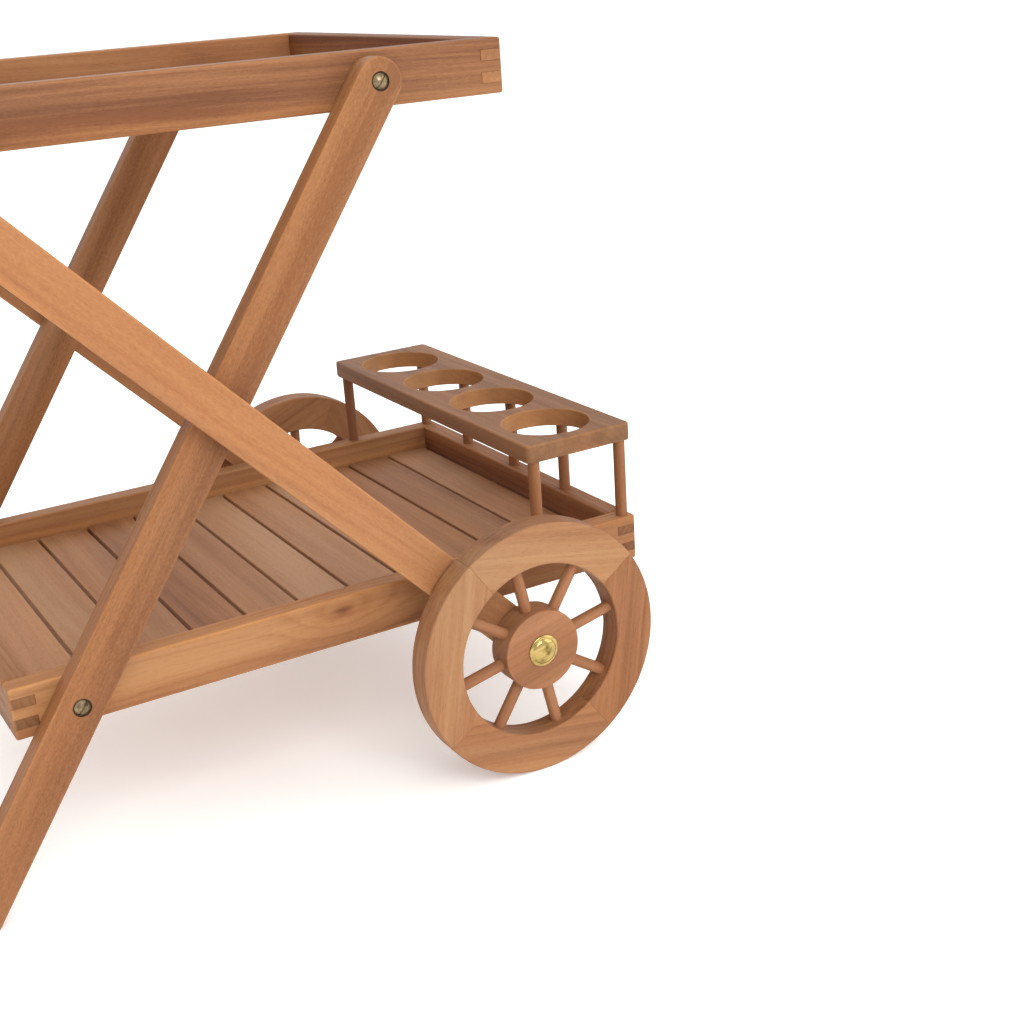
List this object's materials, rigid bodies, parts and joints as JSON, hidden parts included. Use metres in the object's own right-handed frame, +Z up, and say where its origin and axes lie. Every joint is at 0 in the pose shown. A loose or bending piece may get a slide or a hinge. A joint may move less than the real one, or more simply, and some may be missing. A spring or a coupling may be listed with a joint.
{
  "type": "push vending cart",
  "caption": "Wooden push cart on two spoked wooden wheels: slatted upper and lower trays on crossed bars, a round push handle, and a dowelled bottle rack.",
  "frame": {"origin": "on the floor, under the middle of the whole cart", "axes": "+X towards the wheels and the bottle rack, +Y to the left of a person pushing it from the handle, +Z up"},
  "size_m": [0.912, 0.6798, 0.9027],
  "materials": {
    "teak": "oiled",
    "teak_pale": "oiled",
    "teak_red": "oiled",
    "teak_slat": "oiled, duller",
    "brass": "polished",
    "steel": "satin"
  },
  "bodies": {
    "frame": {"left_upper_leg_bolt": "brass", "left_lower_leg_bolt": "brass", "left_upper_handle_bar_bolt": "brass", "left_lower_handle_bar_bolt": "brass", "right_upper_leg_bolt": "brass", "right_lower_leg_bolt": "brass", "right_upper_handle_bar_bolt": "brass", "right_lower_handle_bar_bolt": "brass", "lower_tray_left_rail": "teak", "lower_tray_right_rail": "teak", "lower_tray_front_rail": "teak_red", "lower_tray_rear_rail": "teak_red", "upper_tray_left_rail": "teak", "upper_tray_right_rail": "teak", "upper_tray_front_rail": "teak_red", "upper_tray_rear_rail": "teak_red", "lower_slat_1": "teak_slat", "lower_slat_2": "teak_slat", "lower_slat_3": "teak_slat", "lower_slat_4": "teak_slat", "lower_slat_5": "teak_slat", "lower_slat_6": "teak_slat", "lower_slat_7": "teak_slat", "lower_slat_8": "teak_slat", "lower_slat_9": "teak_slat", "lower_slat_10": "teak_slat", "lower_slat_11": "teak_slat", "lower_ledger_left": "teak", "lower_ledger_right": "teak", "upper_tray_floor": "teak_slat", "left_handle_bar": "teak_pale", "left_leg": "teak_pale", "right_handle_bar": "teak_pale", "right_leg": "teak_pale", "left_upper_spacer": "teak_red", "left_lower_spacer": "teak_red", "right_upper_spacer": "teak_red", "right_lower_spacer": "teak_red", "handle": "teak_pale", "bottle_board": "teak", "rack_outer_dowel_1": "teak_red", "rack_outer_dowel_2": "teak_red", "rack_outer_dowel_3": "teak_red", "rack_outer_dowel_4": "teak_red", "rack_outer_dowel_5": "teak_red", "rack_inner_dowel_left": "teak_red", "rack_inner_dowel_right": "teak_red", "left_hub_cap": "brass", "right_hub_cap": "brass", "axle": "steel"},
    "left_wheel": {"left_wheel_felloe_1": "teak_pale", "left_wheel_felloe_2": "teak", "left_wheel_felloe_3": "teak_pale", "left_wheel_felloe_4": "teak", "left_wheel_spoked_hub": "teak_red"},
    "right_wheel": {"right_wheel_felloe_1": "teak_pale", "right_wheel_felloe_2": "teak", "right_wheel_felloe_3": "teak_pale", "right_wheel_felloe_4": "teak", "right_wheel_spoked_hub": "teak_red"}
  },
  "joints": [
    {"name": "left_wheel_roll", "type": "hinge", "parent": "frame", "child": "left_wheel", "pos_m": [0.2735, 0.318, 0.143], "axis": [0, 1, 0], "continuous": true},
    {"name": "right_wheel_roll", "type": "hinge", "parent": "frame", "child": "right_wheel", "pos_m": [0.2735, -0.318, 0.143], "axis": [0, 1, 0], "continuous": true}
  ]
}
